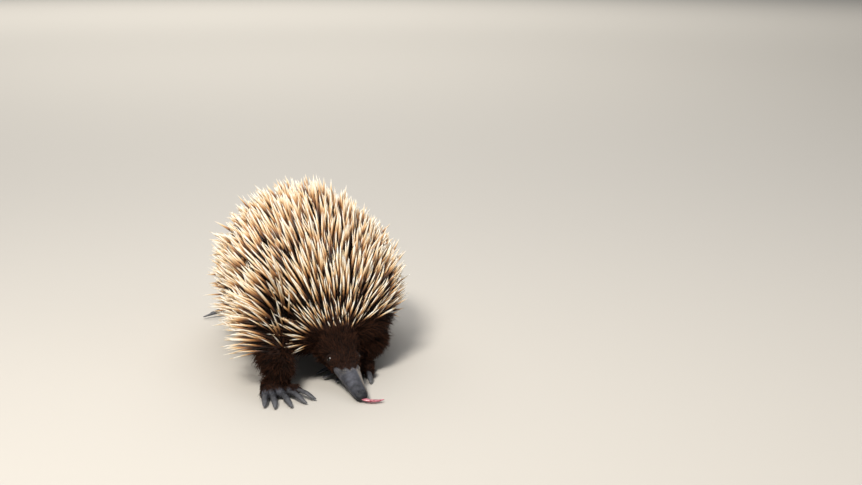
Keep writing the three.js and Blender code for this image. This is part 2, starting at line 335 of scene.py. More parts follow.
# Each leg comes out of a broad shoulder or haunch, which the skirt of quills runs over.
# The body hides its top, and the left forearm is tucked in beside the head.
LEG_THICKNESS = {"fore": 18, "hind": 19}
JOINT_INSET = 0.005
INTO_BODY = {"fore": 0.030, "hind": -0.022}
DEEP_IN_BODY = {"fore": 0.072, "hind": -0.050}
ANKLE_BACK = {"fore": 0.007, "hind": -0.008}
FOREARM_TUCK = {"fore_left": -0.009}
for end in ("fore", "hind"):
    for side, sign in (("left", 1), ("right", -1)):
        name = f"{end}_{side}"
        low, high = (np.array(corner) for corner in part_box(f"leg_{name}"))
        leg = (low + high) / 2
        foot = middle(f"foot_{name}")
        root_y = high[1] if end == "fore" else low[1]
        joint = np.array([leg[0] - sign * JOINT_INSET, root_y, high[2]])
        inwards = np.array([sign * -0.014, INTO_BODY[end], 0.016])
        body = joint + np.array([sign * -0.010, DEEP_IN_BODY[end], 0.016])
        thick = LEG_THICKNESS[end]
        behind = ANKLE_BACK[end]
        tuck = FOREARM_TUCK.get(name, 0.0)
        parts.append(
            loft(
                f"leg_{name}_flesh",
                [
                    station(body, thick + 18, thick + 14),
                    station(joint + inwards, thick + 9, thick + 8),
                    station(joint, thick + 2, thick + 2),
                    station(leg + np.array([tuck, 0, 0.004]), thick - 2, thick - 2),
                    station(foot + np.array([0, behind, 0.016]), 14, 12),
                    station(foot + np.array([0, behind / 2, 0.006]), 13.5, 8.5),
                ],
                sides=24,
                rings=20,
                blunt=0.42,
            )
        )
        parts.append(copy_of(f"foot_{name}"))

# The tail is a short stub under the rump.
rump = np.array([0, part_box("trunk")[1][1], 0])
parts.append(
    loft(
        "tail_flesh",
        [
            station(rump + np.array([0, -0.060, 0.072]), 26, 24),
            station(rump + np.array([0, -0.026, 0.062]), 18, 16),
            station(rump + np.array([0.001, -0.002, 0.054]), 8, 8),
        ],
        blunt=0.5,
    )
)

# Joined, made one closed surface, and smoothed where the bodies meet.
select_only(*parts)
bpy.ops.object.join()
skin = bpy.context.object
skin.name = "skin"
skin.data.name = "skin"
skin.data.materials.clear()
apply(skin, "REMESH", mode="VOXEL", voxel_size=SKIN_VOXEL)
apply(skin, "SMOOTH", factor=0.5, iterations=9)

# Only the head and the feet keep their finest faces, as the quills hide the rest.
FINE_HEAD = 90 * MM
FINE_FEET = 22 * MM
HIDDEN_SHARE = 0.26
where = positions(skin.data)
to_tip = np.linalg.norm(where - beak_tip, axis=1)
plain = np.where((to_tip > FINE_HEAD) & (where[:, 2] > FINE_FEET))[0]
group = skin.vertex_groups.new(name="plain")
group.add(plain.tolist(), 1.0, "REPLACE")
apply(skin, "DECIMATE", ratio=HIDDEN_SHARE, vertex_group="plain", vertex_group_factor=10)
skin.vertex_groups.clear()

# Finer faces round the eyes, the ears, the nostrils and the mouth.
EAR_INSET = 3.6 * MM
FINE_AT_EYE = 8
FINE_AT_TIP = 11
ears = {
    side: middle(f"ear_{side}") - face_left * sign * EAR_INSET
    for side, sign in (("left", 1), ("right", -1))
}
select_only(skin)
centres = np.empty(len(skin.data.polygons) * 3, dtype=np.float32)
skin.data.polygons.foreach_get("center", centres)
centres = centres.reshape(-1, 3)
fine_spots = [(place, FINE_AT_EYE) for place in (*eyes.values(), *ears.values())]
is_fine = np.zeros(len(centres), dtype=bool)
for spot, radius in [*fine_spots, (beak_tip, FINE_AT_TIP)]:
    is_fine |= np.linalg.norm(centres - spot, axis=1) < radius * MM
bpy.ops.object.mode_set(mode="EDIT")
bpy.ops.mesh.select_mode(type="FACE")
bpy.ops.mesh.select_all(action="DESELECT")
bpy.ops.object.mode_set(mode="OBJECT")
skin.data.polygons.foreach_set("select", is_fine)
bpy.ops.object.mode_set(mode="EDIT")
bpy.ops.mesh.subdivide(number_cuts=1, smoothness=0)
bpy.ops.mesh.select_all(action="SELECT")
bpy.ops.mesh.quads_convert_to_tris()
bpy.ops.object.mode_set(mode="OBJECT")


def normals(mesh):
    found = np.empty(len(mesh.vertices) * 3, dtype=np.float32)
    mesh.vertices.foreach_get("normal", found)
    return found.reshape(-1, 3).astype(float)


def grain(points, size, seed=0.0):
    """Soft noise from -1 to 1 at each point, with bumps of about the given size."""
    shift = Vector((seed, seed * 0.7, -seed))
    return np.array([noise.noise(Vector(p) / size + shift) for p in points])


def in_face(points):
    """Distance back from the beak's tip, to the left and up, in mm, in the head's own axes."""
    away = (points - beak_tip) / MM
    return away @ beak_back, away @ face_left, away @ beak_top


# Folds and openings of the beak. It is stiff, with soft creases across its base, a shallow
# groove along each side, two slit nostrils above its tip and a small mouth beneath. In mm.
FOLD_SPACING = 4.3
FOLD_HEIGHT = 0.8
GROOVE_DEPTH = 0.45
NOSTRIL_BACK = 5.6
NOSTRIL_SIDE = 2.9
NOSTRIL_DEPTH = 1.3
NOSTRIL_RIM = 0.3
MOUTH_DEPTH = 1.1
flesh = positions(skin.data)
facing = normals(skin.data)
back, left, top = in_face(flesh)
on_head = (back > -8) & (back < 95) & (np.abs(left) < 30)
lift = np.zeros(len(flesh))

fold_zone = ease(back, 31, 38) * ease(back, 56, 50) * on_head * ease(top, -4, 4)
fold_wave = np.cos(2 * np.pi * (back + 0.02 * left**2 + 0.9 * np.sin(left * 0.5)) / FOLD_SPACING)
lift -= FOLD_HEIGHT * fold_zone * (np.abs(fold_wave) - 0.5)
ridges = fold_zone * (1 - np.abs(fold_wave)) ** 2
groove_top = np.interp(back, [0, 15, 40], [0.2, -0.6, -1.6])
groove = np.exp(-(((top - groove_top) / 1.1) ** 2)) * ease(back, 3, 8) * ease(back, 42, 30)
lift -= GROOVE_DEPTH * groove * on_head
for sign in (1, -1):
    beyond = back - NOSTRIL_BACK
    beside = left - sign * (NOSTRIL_SIDE - 0.12 * back)
    slit = (beyond / 1.5) ** 2 + (beside / 0.62) ** 2
    lift -= NOSTRIL_DEPTH * np.exp(-slit) * (top > 0) * on_head
    rim = np.sqrt((beyond / 2.3) ** 2 + (beside / 1.3) ** 2)
    lift += NOSTRIL_RIM * np.exp(-(((rim - 1) / 0.3) ** 2)) * (top > 0) * on_head
mouth_width = 0.9 + 0.12 * np.clip(back, 0, 9)
mouth = np.exp(-((left / mouth_width) ** 2)) * ease(back, 9, 6.5) * (top < -1)
lift -= MOUTH_DEPTH * mouth * on_head
near_head = np.where(on_head & (back < 70))[0]
lift[near_head] += 0.16 * grain(flesh[near_head], 3.2 * MM, 3.0)
lift[near_head] += 0.07 * grain(flesh[near_head], 1.2 * MM, 7.0)
flesh = flesh + facing * (lift * MM)[:, None]

# Eyelids: a low thick ring that closes on each eyeball, open in the middle. In mm.
EYE_RADIUS = 3.9
EYE_SINK = 1.0
LID_RADII = [0, 1.9, 2.25, 2.7, 3.4, 4.4, 5.8]
LID_HEIGHTS = [2.0, 2.3, 3.3, 3.55, 3.0, 2.2, 1.2]
looks = {
    side: unit(face_left * sign + face_ahead * 0.3 + UP * 0.35)
    for side, sign in (("left", 1), ("right", -1))
}
eyeballs = {side: eyes[side] - looks[side] * EYE_SINK * MM for side in eyes}
for side, look in looks.items():
    across = unit(np.cross(UP, look))
    upright = np.cross(look, across)
    away = (flesh - eyeballs[side]) / MM
    height = away @ look
    radius = np.hypot(away @ across / 1.2, away @ upright)
    is_lid = ease(radius, 8.5, 4.2) * (np.linalg.norm(away, axis=1) < 13) * (height > -7)
    raised = np.interp(radius, LID_RADII, LID_HEIGHTS)
    crease = 0.18 * np.cos(2 * np.pi * radius / 1.5) * ease(radius, 3.2, 4) * ease(radius, 8, 5)
    flesh = flesh + look * (is_lid * (raised + crease - height) * MM)[:, None]

# Ears: an upright slit with a low soft rim. In mm.
EAR_HALF_WIDTH = 2.6
EAR_HALF_HEIGHT = 6.0
EAR_RIM = 2.4
EAR_SLIT = 3.2
for side, sign in (("left", 1), ("right", -1)):
    look = unit(face_left * sign + UP * 0.15)
    along = unit(np.cross(UP, look))
    upright = np.cross(look, along)
    away = (flesh - ears[side]) / MM
    oval = np.hypot(away @ along / EAR_HALF_WIDTH, away @ upright / EAR_HALF_HEIGHT)
    is_ear = np.linalg.norm(away, axis=1) < 16
    rim = EAR_RIM * np.exp(-(((oval - 1) / 0.32) ** 2))
    slit = -EAR_SLIT * np.exp(-((oval / 0.55) ** 2))
    flesh = flesh + look * (is_ear * (rim + slit) * MM)[:, None]
move_to(skin.data, flesh)

# The soles are flat on the floor.
flesh = positions(skin.data)
flesh[:, 2] = np.maximum(flesh[:, 2], 0)
move_to(skin.data, flesh)
skin.data.shade_smooth()

# Markings, which the skin and the coat share: the beak and the toes are bare, the head, the legs
# and the lower sides are reddish, and the back is dark between the quills.
FUR_LINE = 41
TOES_BARE_FROM = 8 * MM
feet = {name: middle(f"foot_{name}") for name in LEGS}
claw_tips = {name: sum(middle(f"claw_{name}_{toe}") for toe in (2, 3, 4)) / 3 for name in LEGS}
toeward = {name: unit((claw_tips[name] - feet[name]) * [1, 1, 0]) for name in feet}


def bareness(points):
    """1 on the beak and on the ends of the toes, 0 where fur grows."""
    back, left, top = in_face(points)
    edge = FUR_LINE + 1.5 * np.sin(left * 0.9) + 0.06 * left**2 - 0.25 * top
    bare = ease(back, edge + 1.6, edge - 1.6) * (np.abs(left) < 26)
    bare *= points[:, 1] < eyes["right"][1] + 10 * MM
    for name, foot in feet.items():
        away = points - foot
        reach = away @ toeward[name] + 2.5 * MM * grain(points, 3 * MM, 4.0)
        near = np.linalg.norm(away, axis=1) < 32 * MM
        bare = np.maximum(bare, ease(reach, TOES_BARE_FROM, TOES_BARE_FROM + 6 * MM) * near)
        bare = np.maximum(bare, ease(points[:, 2], 4.5 * MM, 2.5 * MM) * near)
    return bare


def redness(points):
    """1 on the head, the legs and the lower sides, 0 on the back."""
    back = in_face(points)[0]
    low = ease(points[:, 2], 74 * MM, 46 * MM)
    head = ease(back, 108, 84)
    return np.clip(np.maximum(low, head) + 0.2 * grain(points, 14 * MM, 2.0), 0, 1)


def mark(mesh, name, values):
    """Writes one number for each point of a mesh, for its material to read."""
    field = mesh.attributes.new(name, "FLOAT", "POINT")
    field.data.foreach_set("value", np.ascontiguousarray(values, dtype=np.float32))


def marking(tree, name):
    """The numbers that mark() wrote under the name."""
    return add(tree, "ShaderNodeAttribute", attribute_name=name).outputs["Fac"]


def blend(tree, share, one, other, kind="MIX"):
    """Mixes two colours by the share of the second, or multiplies them."""
    sockets = {"Factor": share, 6: one, 7: other}
    return add(tree, "ShaderNodeMix", sockets, data_type="RGBA", blend_type=kind).outputs[2]


flesh = positions(skin.data)
mark(skin.data, "bare", bareness(flesh))
mark(skin.data, "russet", redness(flesh))
# The beak's left side is paler: partly dust, partly a painted highlight of sunlight.
dust_and_sunlit_side = 0.8 * ease(left, 2.5, 8) * ease(back, 46, 30)
mark(skin.data, "dust_and_sunlight", np.clip(ridges + dust_and_sunlit_side, 0, 1))
mark(skin.data, "from_tip", np.linalg.norm(flesh - beak_tip, axis=1) / MM)

# Bare slate-grey skin, soft and finely wrinkled, and dark hide under the fur. The bare skin is
# dusty on its ridges, paler on its left side with dust and a painted highlight of sunlight, and
# darker at the tip, and its low gloss shows the folds. The hide is dull, so that it reads as fur
# in depth. A scale divided by MM is in features to a millimetre.
hide, tree, out = material("slate_grey_skin_and_dark_hide")
place = add(tree, "ShaderNodeTexCoord").outputs["Object"]
bare = marking(tree, "bare")
russet = marking(tree, "russet")
tip_way = marking(tree, "from_tip")
WRINKLE = 1.1 * MM
PORE = 0.45 * MM
blotches = add(
    tree,
    "ShaderNodeTexNoise",
    {"Vector": place, "Scale": 0.12 / MM, "Detail": 5.0, "Roughness": 0.6},
)
wrinkles = add(
    tree,
    "ShaderNodeTexVoronoi",
    {"Vector": place, "Scale": 1 / WRINKLE, "Randomness": 1.0},
    feature="DISTANCE_TO_EDGE",
)
pores = add(tree, "ShaderNodeTexNoise", {"Vector": place, "Scale": 1 / PORE, "Detail": 3.0})
SLATES = [(0.3, "#14151a"), (0.72, "#5a5c66")]
slate = add(tree, "ShaderNodeValToRGB", {"Fac": blotches.outputs["Fac"]}, SLATES)
dust_and_sunlight_way = marking(tree, "dust_and_sunlight")
caught = add(tree, "ShaderNodeMath", {0: pores.outputs["Fac"], 1: 0.3}, operation="MULTIPLY")
settled_dust_and_sunlight = add(tree, "ShaderNodeMath", {0: dust_and_sunlight_way, 1: 0.6, 2: caught.outputs[0]}, operation="MULTIPLY_ADD")
dust_and_sunlight = add(tree, "ShaderNodeMapRange", {"Value": settled_dust_and_sunlight.outputs[0], "From Min": 0.35, "From Max": 0.8})
# Pale with dust on the ridges, and on the left side pale with dust and a painted highlight of sunlight.
dusty_and_sunlit = blend(tree, dust_and_sunlight.outputs[0], slate.outputs["Color"], linear("#b3a797"))
tip_dark = add(
    tree,
    "ShaderNodeMapRange",
    {"Value": tip_way, "From Min": 3.0, "From Max": 20.0, "To Min": 0.42},
)
tipped = blend(tree, 1.0, dusty_and_sunlit, tip_dark.outputs[0], "MULTIPLY")
furred = blend(tree, russet, linear("#140d08"), linear("#2b170e"))
nap = add(
    tree,
    "ShaderNodeMapRange",
    {"Value": pores.outputs["Fac"], "From Min": 0.35, "From Max": 0.65, "To Min": 0.3},
)
napped = blend(tree, 1.0, furred, nap.outputs[0], "MULTIPLY")
colour = blend(tree, bare, napped, tipped)
creases = add(tree, "ShaderNodeMapRange", {"Value": wrinkles.outputs["Distance"], "From Max": 0.12})
rough_skin = add(tree, "ShaderNodeMath", {0: creases.outputs[0], 1: pores.outputs["Fac"]}, operation="ADD")
bump = add(
    tree,
    "ShaderNodeBump",
    {"Height": rough_skin.outputs[0], "Strength": 0.45, "Distance": 0.22 * MM},
)
shine = add(tree, "ShaderNodeMapRange", {"Value": blotches.outputs["Fac"], "To Min": 0.36, "To Max": 0.62})
gloss = add(tree, "ShaderNodeMix", {"Factor": bare, 2: 0.95, 3: shine.outputs[0]})
shader = add(
    tree,
    "ShaderNodeBsdfPrincipled",
    {
        "Base Color": colour,
        "Roughness": gloss.outputs[0],
        "Normal": bump.outputs[0],
        "Specular IOR Level": 0.28,
    },
)
tree.links.new(shader.outputs[0], out.inputs["Surface"])
skin.data.materials.append(hide)

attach(skin, "root")
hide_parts("trunk", "tail", "head", "beak", "ear_left", "ear_right")
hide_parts(*[f"leg_{name}" for name in LEGS], *[f"foot_{name}" for name in LEGS])

# The eyes: small, dark, wet balls, set in the lids and a little sunk in the head.

# A brown-black iris and pupil in one under a clear wet coat, which gives the eye its glint.
wet, tree, out = material("wet_dark_eye")
shader = add(
    tree,
    "ShaderNodeBsdfPrincipled",
    {"Roughness": 0.06, "Specular IOR Level": 0.6, "Coat Weight": 0.6, "Coat Roughness": 0.03},
)
place = add(tree, "ShaderNodeTexCoord").outputs["Object"]
depth = add(tree, "ShaderNodeTexNoise", {"Vector": place, "Scale": 0.5 / MM, "Detail": 2.0})
BROWNS = [(0, "#080605"), (1, "#1b110b")]
brown = add(tree, "ShaderNodeValToRGB", {"Fac": depth.outputs["Fac"]}, BROWNS)
tree.links.new(brown.outputs["Color"], shader.inputs["Base Color"])
tree.links.new(shader.outputs[0], out.inputs["Surface"])

for side in ("left", "right"):
    bpy.ops.object.select_all(action="DESELECT")
    bpy.ops.mesh.primitive_uv_sphere_add(segments=40, ring_count=24, radius=1)
    eye = bpy.context.object
    eye.name = f"eyeball_{side}"
    ball = positions(eye.data)
    cornea = 1 + 0.05 * ease(ball[:, 2], 0.7, 0.95)
    look = Vector(looks[side])
    turn = np.array(look.to_track_quat("Z", "Y").to_matrix())
    move_to(eye.data, eyeballs[side] + (ball * cornea[:, None] * EYE_RADIUS * MM) @ turn.T)
    eye.data.shade_smooth()
    eye.data.materials.append(wet)
    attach(eye, "root")
    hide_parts(f"eye_{side}")

# The tongue: a thin pink strip that slips out of the mouth and lies to the animal's left.
# It is wet and soft, with a shallow groove along it.

tongue_root = on_beak(1.5, -1.6)
tongue = loft(
    "tongue_strip",
    [
        station(on_beak(5, -1.2), 1.6, 1.0),
        station(tongue_root, 2.4, 1.3),
        station(tongue_root + np.array([6, -4.2, -1.0]) * MM, 2.6, 1.5),
        station(tongue_root + np.array([14, -5.6, -1.5]) * MM, 2.4, 1.4),
        station(tongue_root + np.array([22, -4.2, -1.2]) * MM, 1.2, 0.8),
    ],
    sides=20,
    rings=40,
    blunt=0.45,
)
wavy = positions(tongue.data)
wavy[:, 2] += 0.22 * MM * grain(wavy, 3 * MM, 5.0)
wavy[:, 2] = np.maximum(wavy[:, 2], 0.5 * MM)
move_to(tongue.data, wavy)
tongue.data.shade_smooth()
# Wet pink flesh, blotched darker, with a little light passing through it.
flesh_pink, tree, out = material("wet_pink_tongue")
place = add(tree, "ShaderNodeTexCoord").outputs["Object"]
patches = add(tree, "ShaderNodeTexNoise", {"Vector": place, "Scale": 0.35 / MM, "Detail": 4.0})
PINKS = [(0.36, "#7a2238"), (0.66, "#d58b98")]
pink = add(tree, "ShaderNodeValToRGB", {"Fac": patches.outputs["Fac"]}, PINKS)
bump = add(
    tree,
    "ShaderNodeBump",
    {"Height": patches.outputs["Fac"], "Strength": 0.4, "Distance": 0.3 * MM},
)
shader = add(
    tree,
    "ShaderNodeBsdfPrincipled",
    {
        "Base Color": pink.outputs["Color"],
        "Roughness": 0.25,
        "Normal": bump.outputs[0],
        "Subsurface Weight": 0.15,
        "Subsurface Scale": 1 * MM,
    },
)
tree.links.new(shader.outputs[0], out.inputs["Surface"])
tongue.data.materials.append(flesh_pink)
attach(tongue, "root")
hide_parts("tongue")

# The claws: long, broad blades of grey horn, five to a foot, rounded above and flat beneath.
# Each grows from the end of its toe, and the horn is worn pale and scratched towards its edge.

# Half-matt horn with fine growth lines along it, which catch the light.
horn, tree, out = material("scratched_grey_horn")
place = add(tree, "ShaderNodeTexCoord").outputs["Object"]
along = marking(tree, "along")
around = marking(tree, "around")
GROWTH_LINE = 0.07
lines_place = add(tree, "ShaderNodeCombineXYZ", {"X": around, "Y": along})
stretch = add(
    tree,
    "ShaderNodeMapping",
    {"Vector": lines_place.outputs[0], "Scale": (1 / GROWTH_LINE, 1.2, 1)},
)
streaks = add(tree, "ShaderNodeTexNoise", {"Vector": stretch.outputs[0], "Scale": 1.0, "Detail": 4.0})
wear = add(tree, "ShaderNodeTexNoise", {"Vector": place, "Scale": 0.3 / MM, "Detail": 4.0})
GREYS = [(0.1, "#141519"), (0.5, "#27282d"), (0.95, "#47484d")]
grey = add(tree, "ShaderNodeValToRGB", {"Fac": along}, GREYS)
mix = add(tree, "ShaderNodeMath", {0: streaks.outputs["Fac"], 1: wear.outputs["Fac"]}, operation="MULTIPLY")
pale = add(tree, "ShaderNodeMapRange", {"Value": mix.outputs[0], "From Min": 0.16, "From Max": 0.4})
streaked = blend(tree, pale.outputs[0], grey.outputs["Color"], linear("#6a6b70"))
dulled = blend(tree, 0.55, grey.outputs["Color"], streaked)
bump = add(
    tree,
    "ShaderNodeBump",
    {"Height": streaks.outputs["Fac"], "Strength": 0.5, "Distance": 0.2 * MM},
)
shader = add(
    tree,
    "ShaderNodeBsdfPrincipled",
    {"Base Color": dulled, "Roughness": 0.46, "Normal": bump.outputs[0]},
)
tree.links.new(shader.outputs[0], out.inputs["Surface"])

CLAW_SHARES = (0.0, 0.27, 0.54, 0.81)
TIP_SHARE = 0.6
CLAW_ROOT = 5 * MM
SLICE_POINTS = 8
TIP_PART = 0.94
ROOT_PART = 0.12
FLAT_BENEATH = 0.55
ROUND_ABOVE = 1.05


def claw_stations(node, foot):
    """Stations along a claw, from inside its toe to its tip, read from its solid."""
    body = copy_of(node)
    points = positions(body.data)
    bpy.data.objects.remove(body)
    far = np.linalg.norm((points - foot) * [1, 1, 0], axis=1)
    tip = points[far > np.quantile(far, TIP_PART)].mean(axis=0)
    root = points[far < np.quantile(far, ROOT_PART)].mean(axis=0)
    ahead = unit(tip - root)
    side = unit(np.cross(ahead, UP))
    reach = (points - root) @ ahead
    long = np.linalg.norm(tip - root)
    stations = []
    for share in CLAW_SHARES:
        slice_points = points[np.argsort(np.abs(reach - share * long))[:SLICE_POINTS]]
        across = slice_points @ side
        height = slice_points[:, 2]
        centre = slice_points.mean(axis=0)
        centre += side * ((across.max() + across.min()) / 2 - centre @ side)
        centre[2] = (height.max() + height.min()) / 2
        stations.append([*centre, np.ptp(across) / 2, np.ptp(height) / 2])
    stations = np.array(stations)
    stations[0, 3:] = np.maximum(stations[0, 3:], stations[1, 3:] * 0.95)
    first = stations[0].copy()
    first[:3] -= ahead * CLAW_ROOT
    return np.vstack([first, stations, [*tip, *stations[-1, 3:] * TIP_SHARE]])


for name in LEGS:
    claws = []
    for toe in range(1, 6):
        stations = claw_stations(f"claw_{name}_{toe}", feet[name])
        claw = loft("claw", stations, sides=20, rings=22, blunt=0.4)
        blade = positions(claw.data)
        lengthwise = unit(stations[-1, :3] - stations[0, :3])
        reach = (blade - stations[0, :3]) @ lengthwise
        share = reach / reach.max()
        side = unit(np.cross(lengthwise, UP))
        centre = curve(stations, share)[:, :3]
        half_width = np.interp(share, np.linspace(0, 1, len(stations)), stations[:, 3])
        across = ((blade - centre) @ side) / half_width
        above = blade[:, 2] - centre[:, 2]
        blade[:, 2] = centre[:, 2] + np.where(above < 0, above * FLAT_BENEATH, above * ROUND_ABOVE)
        blade[:, 2] = np.maximum(blade[:, 2], 0.4 * MM)
        move_to(claw.data, blade)
        mark(claw.data, "along", np.clip(share, 0, 1))
        mark(claw.data, "around", across + toe * 3.0)
        claws.append(claw)
    select_only(*claws)
    bpy.ops.object.join()
    claws = bpy.context.object
    claws.name = f"claws_{name}"
    claws.data.shade_smooth()
    claws.data.materials.append(horn)
    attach(claws, "root")
    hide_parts(*[f"claw_{name}_{toe}" for toe in range(1, 6)])

# Where the coat grows. The skin's own shape is unwrapped on a light copy, and the root of each
# tuft takes its place on that map, as a small patch, so that the map follows the body.

select_only(skin)
bpy.ops.object.duplicate()
pattern = bpy.context.object
pattern.name = "unwrapped_copy"
apply(pattern, "DECIMATE", ratio=0.045)
apply(pattern, "TRIANGULATE")
bpy.ops.object.mode_set(mode="EDIT")
bpy.ops.mesh.select_all(action="SELECT")
bpy.ops.uv.smart_project(angle_limit=math.radians(66), island_margin=0.004)
bpy.ops.object.mode_set(mode="OBJECT")
count = len(pattern.data.polygons)
corners = np.empty(count * 3, dtype=np.int32)
pattern.data.loops.foreach_get("vertex_index", corners)
corners = positions(pattern.data)[corners].reshape(-1, 3, 3)
unwrapped = np.empty(count * 6, dtype=np.float32)
pattern.data.uv_layers.active.data.foreach_get("uv", unwrapped)
unwrapped = unwrapped.reshape(-1, 3, 2).astype(float)
across_faces = np.cross(corners[:, 1] - corners[:, 0], corners[:, 2] - corners[:, 0])
areas = np.linalg.norm(across_faces, axis=1) / 2
faces_point = across_faces / np.maximum(areas[:, None] * 2, 1e-12)
bpy.data.objects.remove(pattern)
surface = BVHTree.FromObject(skin, bpy.context.evaluated_depsgraph_get())
rng = np.random.default_rng(11)

PATCH = 0.003
CHOICES = 5
LIFT_OFF_FLOOR = 0.3 * MM


def scatter(where, spacing):
    """Roots spread evenly at the spacing wherever where(points, normals) is true.

    Gives their places and normals on the skin, and their places on the unwrapped map.
    """
    by_corner = [where(corners[:, k], faces_point) for k in range(3)]
    chance = areas * np.any(by_corner, axis=0)
    count = int(chance.sum() / spacing**2 * CHOICES)
    face = rng.choice(len(areas), size=count, p=chance / chance.sum())
    a, b = rng.random((2, count))
    outside = a + b > 1
    a[outside], b[outside] = 1 - a[outside], 1 - b[outside]
    shares = np.stack([1 - a - b, a, b], axis=1)[:, :, None]
    places = (corners[face] * shares).sum(axis=1)
    on_map = (unwrapped[face] * shares).sum(axis=1)
    grows = where(places, faces_point[face])
    places, on_map = places[grows], on_map[grows]
    cells = {}
    kept = []
    steps = [(i, j, k) for i in (-1, 0, 1) for j in (-1, 0, 1) for k in (-1, 0, 1)]
    cell_of = np.floor(places / spacing).astype(int).tolist()
    for index, (place, cell) in enumerate(zip(places.tolist(), cell_of)):
        around = [cells.get((cell[0] + i, cell[1] + j, cell[2] + k), ()) for i, j, k in steps]
        if all(math.dist(place, other) >= spacing for near in around for other in near):
            cells.setdefault(tuple(cell), []).append(place)
            kept.append(index)
    hits = [surface.find_nearest(place) for place in places[kept]]
    return np.array([hit[0] for hit in hits]), np.array([hit[1] for hit in hits]), on_map[kept]


def strand(segments, rings, widths):
    """A thin closed spindle along +Z from 0 to 1, with its widths at shares of its length."""
    bpy.ops.object.select_all(action="DESELECT")
    bpy.ops.mesh.primitive_uv_sphere_add(segments=segments, ring_count=rings, radius=1)
    ball = bpy.context.object
    spots = positions(ball.data)
    ball.data.calc_loop_triangles()
    triangles = np.empty(len(ball.data.loop_triangles) * 3, dtype=np.int32)
    ball.data.loop_triangles.foreach_get("vertices", triangles)
    bpy.data.objects.remove(ball)
    along = (spots[:, 2] + 1) / 2
    girth = np.interp(along, *zip(*widths)) / np.maximum(np.hypot(spots[:, 0], spots[:, 1]), 1e-6)
    return np.column_stack([spots[:, 0] * girth, spots[:, 1] * girth, along]), triangles.reshape(-1, 3)


def plant(name, shape, roots, heading, bend, length, girth, tone, on_map, stuff):
    """One joined mesh with a strand at each root. bend moves its tip, as a share of its length."""
    spots, triangles = shape
    some_way = np.where(np.abs(heading[:, 2:]) > 0.9, [[1.0, 0, 0]], [[0, 0, 1.0]])
    side = unit(np.cross(some_way, heading))
    other = np.cross(heading, side)
    points = (
        roots[:, None]
        + side[:, None] * (spots[:, 0] * girth[:, None])[:, :, None]
        + other[:, None] * (spots[:, 1] * girth[:, None])[:, :, None]
        + heading[:, None] * (spots[:, 2] * length[:, None])[:, :, None]
        + bend[:, None] * (spots[:, 2] ** 2 * length[:, None])[:, :, None]
    ).reshape(-1, 3)
    points[:, 2] = np.maximum(points[:, 2], LIFT_OFF_FLOOR)
    starts = np.arange(len(roots))[:, None, None] * len(spots)
    indices = (triangles[None] + starts).reshape(-1)
    patches = np.stack([spots[:, 0] * 0.5 + 0.5, spots[:, 2]], axis=1) * PATCH
    on_map = np.clip(on_map, 0, 1 - PATCH)
    places = (on_map[:, None] + patches[None]).reshape(-1, 2)[indices]
    mesh = bpy.data.meshes.new(name)
    mesh.vertices.add(len(points))
    mesh.vertices.foreach_set("co", points.astype(np.float32).ravel())
    mesh.loops.add(len(indices))
    mesh.loops.foreach_set("vertex_index", indices.astype(np.int32))
    mesh.polygons.add(len(indices) // 3)
    mesh.polygons.foreach_set("loop_start", np.arange(0, len(indices), 3, dtype=np.int32))
    mesh.uv_layers.new(name="OFBake").data.foreach_set("uv", places.astype(np.float32).ravel())
    mesh.update(calc_edges=True)
    mesh.shade_smooth()
    mark(mesh, "along", np.tile(spots[:, 2], len(roots)))
    mark(mesh, "tone", np.repeat(tone, len(spots)))
    mark(mesh, "russet", np.repeat(redness(roots), len(spots)))
    piece = bpy.data.objects.new(name, mesh)
    bpy.context.scene.collection.objects.link(piece)
    mesh.materials.append(stuff)
    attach(piece, "root")
    return piece


def lie(roots, facing, flow, rise, loose):
    """Headings that follow the flow over the skin, lifted by rise degrees, a little uneven.

    Behind the shoulders the coat hangs down where the skin faces the way it flows.
    """
    jitter = rng.normal(size=roots.shape) * loose
    ahead = (unit(flow) * facing).sum(axis=1, keepdims=True)
    hind_part = ease(roots[:, 1:2], -40 * MM, 40 * MM)
    flow = flow - 1.5 * ease(ahead, 0.35, 0.85) * hind_part * UP
    flat = flow - (flow * facing).sum(axis=1, keepdims=True) * facing
    flat = unit(flat + 1e-9) + jitter
    lifted = np.radians(rise)[:, None]
    return unit(flat * np.cos(lifted) + facing * np.sin(lifted))


# The quills: stiff hollow spines of keratin over the back and sides, thickest below the middle
# and sharp at the tip. They radiate from the nape, lean back over each other and part along the
# back. Short ones start behind the eyes, and the longest stand on the back and the rump.

CROWN = on_beak(66, 4)
QUILLS_START = 80
FACE_HALF_WIDTH = 30
SKIRT_FRONT = 35 * MM
SKIRT_BACK = 42 * MM
LEG_REACH = 30 * MM
LEG_FUR_TOP = {"left": 55 * MM, "right": 42 * MM}
INNER_TOP = 85 * MM
THROAT_TOP = 54 * MM
LEG_TOP = 62 * MM
QUILL_SPACING = 4.25 * MM
NAPE_SPACING = 3.3 * MM
NAPE_REACH = 34 * MM
QUILL_REACHES = [0, 10, 28, 60, 110, 180, 330]
QUILL_LENGTHS = [10, 21, 37, 48, 53, 56, 54]
QUILL_RADII = [0.4, 1.48]


def leg_distance(points):
    """Distance to the nearest leg's line, from its foot to its top."""
    found = np.full(len(points), 9.0)
    for name, foot in feet.items():
        low, high = (np.array(corner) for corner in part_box(f"leg_{name}"))
        top = np.array([(low[0] + high[0]) / 2, high[1] if "fore" in name else low[1], LEG_TOP])
        way = top - foot
        share = np.clip((points - foot) @ way / (way @ way), 0, 1)
        found = np.minimum(found, np.linalg.norm(points - foot - share[:, None] * way, axis=1))
    return found


def parting_side(points):
    """How far each point is to the left of the parting, which wavers along the back."""
    return points[:, 0] - 1.5 * MM + 4 * MM * np.sin(points[:, 1] / (48 * MM))


